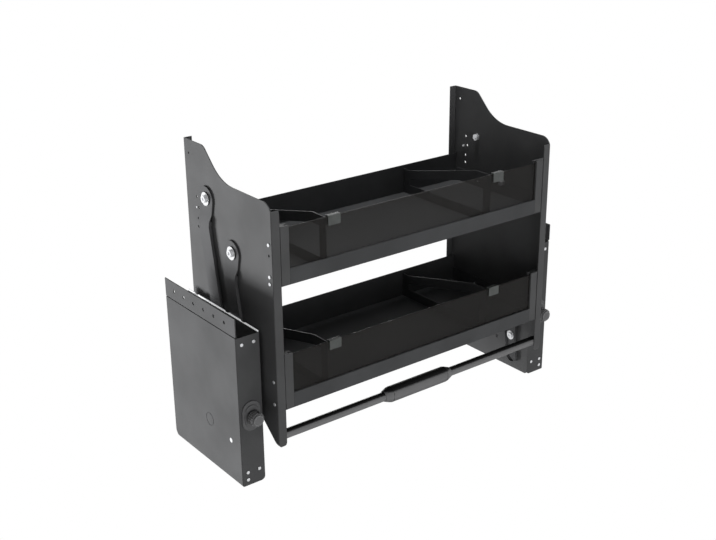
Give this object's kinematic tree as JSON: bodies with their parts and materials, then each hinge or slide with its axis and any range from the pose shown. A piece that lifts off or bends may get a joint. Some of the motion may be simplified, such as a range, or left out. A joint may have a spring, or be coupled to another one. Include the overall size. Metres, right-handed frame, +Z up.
{
  "type": "pull-down cabinet rack",
  "caption": "Pull-down wall-cabinet rack: a carriage of two glass-fronted trays swings forward and down on parallel arms from two side housings.",
  "frame": {"origin": "middle of the footprint, level with the foot of the side housings, carriage closed", "axes": "+X across the cabinet to the right, +Y into the cabinet, +Z up"},
  "size_m": [0.766, 0.2865, 0.589],
  "materials": {
    "plate_coat": "dark grey powder coat, satin",
    "tray_coat": "dark grey powder coat, satin",
    "housing_coat": "dark grey powder coat, satin",
    "flange_steel": "dark grey powder coat over bright steel",
    "arm_coat": "dark grey powder coat, satin",
    "zinc": "bright zinc plating",
    "spring_steel": "bright drawn wire",
    "nylon": "moulded nylon",
    "rubber": "matt black rubber",
    "damper_body": "moulded black plastic",
    "knob_plastic": "moulded dark grey plastic",
    "knob_plate_plastic": "moulded dark grey plastic",
    "smoked_glass": "smoked glass",
    "clip_plastic": "pale translucent plastic",
    "divider_coat": "dark grey powder coat, satin",
    "bar_coat": "mid grey powder coat, satin",
    "grip_rubber": "soft black grip"
  },
  "bodies": {
    "root": {"left_mounting_plate": "flange_steel", "right_mounting_plate": "flange_steel", "left_housing_cover": "housing_coat", "right_housing_cover": "housing_coat", "left_inner_plate": "plate_coat", "right_inner_plate": "plate_coat", "housing_spacers": "zinc", "housing_rivets": "zinc", "shaft_bushes": "nylon", "rotary_dampers": "damper_body", "stop_buffers": "rubber", "left_knob_plate": "knob_plate_plastic", "right_knob_plate": "knob_plate_plastic", "left_spring": "spring_steel", "right_spring": "spring_steel"},
    "left_rear_arm": {"left_rear_arm": "arm_coat", "left_rear_shaft": "zinc", "left_rear_arm_bolt": "zinc", "left_rear_bush": "nylon", "left_crank": "zinc"},
    "left_front_arm": {"left_front_arm": "arm_coat", "left_front_shaft": "zinc", "left_front_arm_bolt": "zinc", "left_front_bush": "nylon"},
    "right_rear_arm": {"right_rear_arm": "arm_coat", "right_rear_shaft": "zinc", "right_rear_arm_bolt": "zinc", "right_rear_bush": "nylon", "right_crank": "zinc"},
    "right_front_arm": {"right_front_arm": "arm_coat", "right_front_shaft": "zinc", "right_front_arm_bolt": "zinc", "right_front_bush": "nylon"},
    "carriage": {"left_side_plate": "plate_coat", "right_side_plate": "plate_coat", "pivot_bolts": "zinc", "pivot_washers": "zinc", "upper_tray": "tray_coat", "lower_tray": "tray_coat", "upper_tray_posts": "plate_coat", "lower_tray_posts": "plate_coat", "upper_glass": "smoked_glass", "lower_glass": "smoked_glass", "tray_screws": "zinc", "handle_bar": "bar_coat", "handle_grip": "grip_rubber"},
    "left_knob": {"left_tension_knob": "knob_plastic", "left_tension_screw": "zinc"},
    "left_nut": {"left_tension_nut": "zinc"},
    "right_knob": {"right_tension_knob": "knob_plastic", "right_tension_screw": "zinc"},
    "right_nut": {"right_tension_nut": "zinc"},
    "upper_left_divider": {"upper_left_divider": "divider_coat", "upper_left_clip": "clip_plastic"},
    "upper_right_divider": {"upper_right_divider": "divider_coat", "upper_right_clip": "clip_plastic"},
    "lower_left_divider": {"lower_left_divider": "divider_coat", "lower_left_clip": "clip_plastic"},
    "lower_right_divider": {"lower_right_divider": "divider_coat", "lower_right_clip": "clip_plastic"}
  },
  "joints": [
    {"name": "left_rear_arm_swing", "type": "hinge", "parent": "root", "child": "left_rear_arm", "pos_m": [-0.33, 0.03075, 0.1555], "axis": [1, 0, 0], "range_deg": [0, 112], "deforming": ["left_spring"]},
    {"name": "left_front_arm_swing", "type": "hinge", "parent": "root", "child": "left_front_arm", "pos_m": [-0.33, -0.04875, 0.076], "axis": [1, 0, 0], "range_deg": [0, 112]},
    {"name": "right_rear_arm_swing", "type": "hinge", "parent": "root", "child": "right_rear_arm", "pos_m": [0.33, 0.03075, 0.1555], "axis": [1, 0, 0], "range_deg": [0, 112], "deforming": ["right_spring"]},
    {"name": "right_front_arm_swing", "type": "hinge", "parent": "root", "child": "right_front_arm", "pos_m": [0.33, -0.04875, 0.076], "axis": [1, 0, 0], "range_deg": [0, 112]},
    {"name": "carriage_level", "type": "hinge", "parent": "left_rear_arm", "child": "carriage", "pos_m": [-0.33, 0.06715, 0.4925], "axis": [1, 0, 0], "range_deg": [-112, 0]},
    {"name": "left_knob_turn", "type": "hinge", "parent": "root", "child": "left_knob", "pos_m": [-0.359, -0.11375, 0.139], "axis": [0, 1, 0], "range_deg": [-720, 720]},
    {"name": "left_nut_travel", "type": "slide", "parent": "root", "child": "left_nut", "axis": [0, 1, 0], "range_m": [-0.008, 0.008]},
    {"name": "right_knob_turn", "type": "hinge", "parent": "root", "child": "right_knob", "pos_m": [0.359, -0.11375, 0.139], "axis": [0, 1, 0], "range_deg": [-720, 720]},
    {"name": "right_nut_travel", "type": "slide", "parent": "root", "child": "right_nut", "axis": [0, 1, 0], "range_m": [-0.008, 0.008]},
    {"name": "upper_left_divider_slide", "type": "slide", "parent": "carriage", "child": "upper_left_divider", "axis": [1, 0, 0], "range_m": [-0.075, 0.17]},
    {"name": "upper_right_divider_slide", "type": "slide", "parent": "carriage", "child": "upper_right_divider", "axis": [1, 0, 0], "range_m": [-0.138, 0.08]},
    {"name": "lower_left_divider_slide", "type": "slide", "parent": "carriage", "child": "lower_left_divider", "axis": [1, 0, 0], "range_m": [-0.07, 0.17]},
    {"name": "lower_right_divider_slide", "type": "slide", "parent": "carriage", "child": "lower_right_divider", "axis": [1, 0, 0], "range_m": [-0.135, 0.08]}
  ],
  "couplings": [
    {"joint": "left_front_arm_swing", "follows": "left_rear_arm_swing", "ratio": 1},
    {"joint": "right_rear_arm_swing", "follows": "left_rear_arm_swing", "ratio": 1},
    {"joint": "right_front_arm_swing", "follows": "left_rear_arm_swing", "ratio": 1},
    {"joint": "carriage_level", "follows": "left_rear_arm_swing", "ratio": -1},
    {"joint": "left_knob_turn", "follows": "left_nut_travel", "rad_per_m": -1570.8},
    {"joint": "right_knob_turn", "follows": "right_nut_travel", "rad_per_m": -1570.8}
  ]
}
